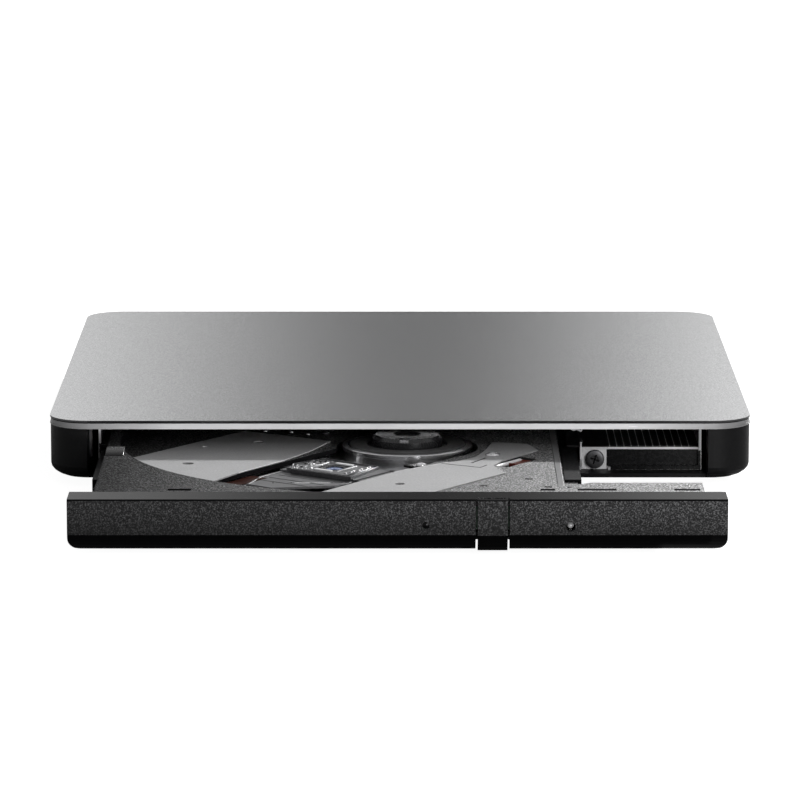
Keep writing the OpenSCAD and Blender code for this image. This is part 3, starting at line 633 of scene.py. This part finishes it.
# wavy flex along u; each row holds (bottom, top) vertex pairs across v
FLEX_STEPS, FLEX_PITCH, FLEX_THICK = 14, 0.8, 0.06
shape = Shape()
rows = []
for k in range(FLEX_STEPS + 1):
    u = 39.5 + k * FLEX_PITCH
    z = 5.72 + 0.08 * math.sin(k * 0.6)
    rows.append([shape.verts([(u, v, z), (u, v, z + FLEX_THICK)], PICKUP)
                 for v in (-11.1, -9.8, -8.4, -7.2)])
for a, b in zip(rows, rows[1:]):
    for i in range(3):
        shape.face([a[i][1], b[i][1], b[i + 1][1], a[i + 1][1]])
        shape.face([a[i][0], a[i + 1][0], b[i + 1][0], b[i][0]])
    shape.face([a[0][0], b[0][0], b[0][1], a[0][1]])
    shape.face([a[3][0], a[3][1], b[3][1], b[3][0]])
for row, order in ((rows[0], 1), (rows[-1], -1)):
    for a, b in zip(row, row[1:]):
        shape.face([a[0], a[1], b[1], b[0]][::order])
shape.turn_faces_out()
shape.finish("pickup_flex", "flex_brown", "pickup")

# ------------------------------------------------------------------ rod clips near the spindle
shape = Shape()
shape.slab((11.0, 14.2), (10.0, 15.0), (5.86, 6.35), radius=0.6, steps=4, at=PICKUP)
shape.slab((11.6, 13.4), (8.4, 10.4), (5.7, 6.15), radius=0.4, at=PICKUP)
shape.finish("rod_clip", "liner_black", "tray", bevel=0.1)
screw_head("rod_clip_screw", (12.6, 12.6, 6.34), radius=1.1, height=0.45, at=PICKUP)
shape = Shape()
shape.slab((14.0, 16.4), (-13.6, -9.9), (5.62, 6.0), radius=0.5, steps=4, at=PICKUP)
shape.finish("rod_clip_left", "liner_black", "tray", bevel=0.08)

# ------------------------------------------------------------------ tray covers
RIVETS = [(-15.9, -54.8, 0.9), (-23.2, -53.6, 0.6), (-28.9, -52.2, 0.7), (-19.6, -55.9, 0.6)]
screw_head("plate_screw", (19.4, -79.2, COVER_TOP), radius=1.55, height=0.45)
for i, (x, y, radius) in enumerate(RIVETS):
    screw_head("plate_rivet_%d" % i, (x, y, 7.12), radius, height=0.35)

# low round bumps
shape = Shape()
shape.lathe([(0, 0), (0.55, 0), (0.5, 0.12), (0.3, 0.2), (0, 0.22)], (-41.4, -69.5, 7.13), 20)
shape.lathe([(0, 0), (0.5, 0), (0.45, 0.1), (0, 0.16)], (-52.0, -84.0, 7.13), 20)
shape.finish("plate_dimples", "cover_silver", "tray")

# dark lines standing for slots: x, y of the start, x, y of the end, width, top
SLOTS = [
    (14.9, -88.0, 17.9, -82.5, 0.35, 7.2),
    (8.6, -88.6, 16.6, -93.0, 0.22, 7.19),
    (16.6, -93.0, 18.0, -90.4, 0.22, 7.19),
]
shape = Shape()
for x0, y0, x1, y1, width, top in SLOTS:
    along = Vector((x1 - x0, y1 - y0)).normalized()
    dx, dy = Vector((-along.y, along.x)) * (width / 2)
    outline = [(x0 - dx, y0 - dy), (x1 - dx, y1 - dy), (x1 + dx, y1 + dy), (x0 + dx, y0 + dy)]
    shape.prism(outline, (COVER_TOP, top))
shape.turn_faces_out()
shape.finish("plate_slots", "liner_black", "tray")

# bright rods along the free edges, painted highlights standing in for the glint on those edges:
# height, x, y points
HIGHLIGHT_RIMS = [
    (7.1, [(-33.2, -98.5), (-30.8, -94.8), (-24.2, -85.1), (-19.1, -75.0), (-14.9, -64.0)]),
    (7.12, [(-1.2, -97.6), (5.7, -91.1), (10.0, -87.2)]),
    (7.12, [(21.4, -99.0), (19.3, -91.2)]),
]
shape = Shape()
for z, edge in HIGHLIGHT_RIMS:
    shape.tube([(x, y, z) for x, y in edge], 0.08, 8)
shape.finish("plate_rim_highlights", "bright_sheet", "tray")

# ------------------------------------------------------------------ tray
# hump at the left: y, z section carried along x
HUMP = [(-88.5, 8.6), (-80.5, 8.6), (-80.9, 9.2), (-82.4, 9.55), (-84.6, 9.6), (-86.6, 9.3),
        (-88.1, 8.9)]
shape = Shape()
left, right = (shape.verts([(x, y, z) for y, z in HUMP]) for x in (-61.2, -57.4))
shape.face(left)
shape.face(right[::-1])
for k in range(len(HUMP)):
    after = (k + 1) % len(HUMP)
    shape.face([left[k], right[k], right[after], left[after]])
shape.turn_faces_out()
shape.finish("tray_hump", "liner_black", "tray", bevel=0.25, segments=3)

# small raised bars: left x, right x, middle y
PIPS = [(-59.3, -56.0, -91.3), (16.0, 17.6, -120.5), (25.3, 26.9, -113.2),
        (29.0, 30.6, -121.6), (33.6, 34.6, -122.0)]
shape = Shape()
for x0, x1, y in PIPS:
    shape.slab((x0, x1), (y - 0.45, y + 0.45), (8.66, 8.76), radius=0.2)
shape.finish("tray_pips", "liner_black", "tray", bevel=0.04)

# long strip along y
shape = Shape()
shape.slab((32.15, 33.35), (-120.3, -12.0), (6.65, 6.8), radius=0.3)
shape.finish("tray_strip", "tray_strip", "tray", bevel=0.05)

# emergency release slider behind its hole, and its tip pointing forwards
shape = Shape()
shape.slab((31.7, 35.5), (-140.2, -137.2), (3.7, 7.1), radius=0.5)
shape.finish("release_slider", "liner_black", "tray", bevel=0.15)
# painted highlight: the real tip is near-white to give the bright spot seen in the release hole
TIP = [(0, 0), (0.55, 0), (0.55, 1.9), (0.62, 2.05), (0.62, 2.4), (0.46, 2.65), (0.22, 2.8),
       (0, 2.85)]
shape = Shape()
shape.lathe(TIP, (33.6, -140.15, 5.15), 24, FRONT)
shape.finish("release_slider_tip", "bright_sheet", "tray")

# domed window of the light, near-black so its hole reads dark: painted shade
shape = Shape()
window = [(0, 0), (0.7, 0), (0.68, 0.08), (0.45, 0.17), (0, 0.21)]
shape.lathe(window, (5.1, -144.66, 5.5), 24, FRONT)
shape.finish("led_window", "window_black", "tray")

# ------------------------------------------------------------------ enclosure front
shape = Shape()
shape.box((-63.9, -61.2), (-63.8, -62.6), (9.75, 10.05))
shape.box((-63.9, -63.5), (-63.95, -62.6), (6.9, 10.05))
shape.finish("left_corner_bracket", "bright_sheet", "enclosure", bevel=0.08)

# bent wire under a small bar
HOOK = [(36.3, 9.9), (36.9, 9.55), (37.6, 9.75), (38.4, 9.3), (38.7, 9.95)]  # x, z
shape = Shape()
shape.tube([(x, -63.6, z) for x, z in HOOK], 0.22, 10)
shape.box((36.2, 38.9), (-63.7, -62.9), (9.85, 10.1))
shape.finish("right_hook", "bright_sheet", "enclosure", bevel=0.05)

# bright sheet edges: along the shelf, and upright at its right and left
shape = Shape()
shape.box((44.2, 63.4), (-63.72, -63.42), (SHELF_TOP - 0.44, SHELF_TOP + 0.03))
shape.box((63.45, 63.9), (-64.02, -63.7), (SHELF_TOP - 0.4, 10.1))
shape.box((38.25, 38.65), (-63.62, -63.2), (3.2, 6.95))
shape.finish("shelf_rims", "bright_sheet", "enclosure", bevel=0.06)

# tab screw facing forwards, with a dark cross on its face
TAB_X, TAB_Y, TAB_Z = 41.4, -64.04, 3.35
TAB_HEIGHT = 0.34
screw_head("tab_screw_cap", (TAB_X, TAB_Y, TAB_Z), 1.95, TAB_HEIGHT, "dark_sheet",
           "enclosure", axis=FRONT)
shape = Shape()
for angle in (0.35, 0.35 + math.pi / 2):
    face_centre = Matrix.Translation((TAB_X, TAB_Y - TAB_HEIGHT, TAB_Z))
    cross = face_centre @ Matrix.Rotation(angle, 4, "Y")
    shape.box((-1.05, 1.05), (-0.05, 0.06), (-0.17, 0.17), cross)
shape.finish("tab_screw_cross", "liner_black", "enclosure", bevel=0.03)

# black ring at the joint between the skin and the silver frame, standing in for the shaded groove
# there: painted shade
shape = Shape()
seam = rounded((-73.95, 73.95), (-72.2, 72.2), radius=8.2, steps=12)
shape.ring(seam, inset(seam, 0.25), (12.57, 12.79))
shape.finish("lid_seam_shade", "liner_black", "enclosure")

# steel yoke beside the solenoid: a rod on two posts
shape = Shape()
shape.tube([(-4.4, 25.85, 6.3), (5.4, 25.85, 6.3)], 0.42, 14, PICKUP)
for u in (-4.2, 5.2):
    shape.slab((u - 0.3, u + 0.3), (25.4, 26.4), (5.4, 6.55), radius=0.15, at=PICKUP)
shape.finish("solenoid_yoke", "bright_sheet", "tray", bevel=0.03)

# ------------------------------------------------------------------ back and underside
# row of contacts in the back socket
SOCKET_X, CONTACT_PITCH, CONTACT_WIDTH = 38, 0.65, 0.25
shape = Shape()
for k in range(5):
    x = SOCKET_X - 1.45 + k * CONTACT_PITCH
    shape.box((x, x + CONTACT_WIDTH), (67.2, 71.2), (5.02, 5.06))
shape.finish("usb_contacts", "bronze", "enclosure", bevel=0.01)

# blank rating panel with a rim
shape = Shape()
panel = rounded((-30, 30), (-16, 16), radius=2.5, steps=6)
shape.ring(panel, inset(panel, 0.6), (-0.14, 0.02))
shape.prism(inset(panel, 1.0), (-0.08, 0.02))
shape.finish("blank_rating_panel", "chip_black", "enclosure", bevel=0.04)


# ------------------------------------------------------------------ floor, light, camera (metres)
def floor():
    """White to the camera, mid grey to every other ray."""
    mesh = bpy.data.meshes.new("floor")
    bm = bmesh.new()
    bmesh.ops.create_grid(bm, x_segments=2, y_segments=2, size=4.0)
    bm.to_mesh(mesh)
    bm.free()
    ob = bpy.data.objects.new("floor", mesh)
    ob.location = (0, 0, -0.00102)
    bpy.context.scene.collection.objects.link(ob)
    g = Material("floor_paper")
    soft = g.noise(3.0)
    g.put("Roughness", 0.9)
    g.put("Specular IOR Level", 0.1)
    seen = g.new("LightPath").outputs["Is Camera Ray"]
    g.put("Base Color", g.mix(seen, 0.42, g.ramp(soft, [(0.3, 0.38), (0.7, 0.4)])))
    g.put("Emission Color", (1.0, 1.0, 1.0))
    g.put("Emission Strength", g.calc("MULTIPLY", seen, 0.95))
    g.bump(soft, depth=0.02)
    mesh.materials.append(g.material)
    ob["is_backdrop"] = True


# share of the sky's width from left to right, brightness seen in reflections
SKY_WIDTH = math.radians(24)
SKY = [(0.0, 0.36), (0.16, 0.62), (0.30, 0.56), (0.38, 0.37), (0.46, 0.13), (0.5, 0.08),
       (0.54, 0.09), (0.60, 0.26), (0.68, 0.6), (0.78, 0.77), (0.88, 0.8), (1.0, 0.38)]


def world():
    """A gradient about +Y for reflections, a dim fill, and white for the camera."""
    studio = bpy.data.worlds.new("studio")
    bpy.context.scene.world = studio
    g = Tree(studio, "OutputWorld")
    rays = g.new("LightPath").outputs
    direction = g.split(g.new("TexCoord").outputs["Generated"])
    azimuth = g.calc("ARCTAN2", direction[0], direction[1])
    gradient = g.ramp(g.calc("ADD", g.calc("DIVIDE", azimuth, SKY_WIDTH), 0.5), SKY)

    def background(colour, strength):
        return g.new("Background", {0: colour, 1: strength}).outputs[0]

    reflected = background(gradient, 1.5)
    fill = background(1.0, 0.17)
    seen = background(1.0, 1.0)
    lit = g.new("MixShader", {0: rays["Is Glossy Ray"], 1: fill, 2: reflected}).outputs[0]
    full = g.new("MixShader", {0: rays["Is Camera Ray"], 1: lit, 2: seen}).outputs[0]
    g.link(full, g.output.inputs[0])


def area(name, place, target, size, power):
    """Rectangular lamp aimed at target; size is (width, height) in m, power in W."""
    lamp = bpy.data.lights.new(name, "AREA")
    lamp.energy = power
    lamp.shape = "RECTANGLE"
    lamp.size, lamp.size_y = size
    ob = bpy.data.objects.new(name, lamp)
    ob.location = place
    ob.rotation_euler = (Vector(target) - Vector(place)).to_track_quat("-Z", "Y").to_euler()
    bpy.context.scene.collection.objects.link(ob)


def spare_lid():
    """The polished lid is shaped by the sky gradient alone, so the lamps leave it out."""
    skip = bpy.data.collections.new("lamps_skip")
    skip.objects.link(NODES["top_plate"])
    skip.collection_objects[0].light_linking.link_state = "EXCLUDE"
    for ob in bpy.data.objects:
        if ob.type == "LIGHT":
            ob.light_linking.receiver_collection = skip


def camera():
    """Long lens in front of the drive, looking a little down."""
    data = bpy.data.cameras.new("cam")
    data.lens = 224.77
    data.sensor_width = 36.0
    data.clip_start = 0.05
    data.clip_end = 20
    ob = bpy.data.objects.new("cam", data)
    ob.location = (0.0, -1.10684, 0.20294)
    ob.rotation_euler = (math.radians(90 - 10.156), 0, 0)
    scene = bpy.context.scene
    scene.collection.objects.link(ob)
    scene.camera = ob
    scene.view_settings.view_transform = "Standard"
    scene.view_settings.look = "None"


floor()
world()
area("key_back", (0.66, 0.98, 0.52), target=(0, -0.07, 0), size=(0.12, 0.05), power=31.0)
area("fill_right", (0.26, -0.46, 0.26), target=(0.02, -0.14, 0), size=(0.12, 0.12), power=0.4)
area("fill_front", (0.7, -1.5, 0.35), target=(0, -0.15, 0), size=(0.7, 0.3), power=5.5)
area("fill_low", (0.25, -1.6, 0.035), target=(0, -0.1, 0.01), size=(0.6, 0.04), power=5.5)
spare_lid()
camera()

# ------------------------------------------------------------------ bounds of the CAD pieces and of the whole visual
sizes = {"cad": cad_bounds, "visual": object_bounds()}
sizes = {key: [[float(x) for x in corner] for corner in box] for key, box in sizes.items()}
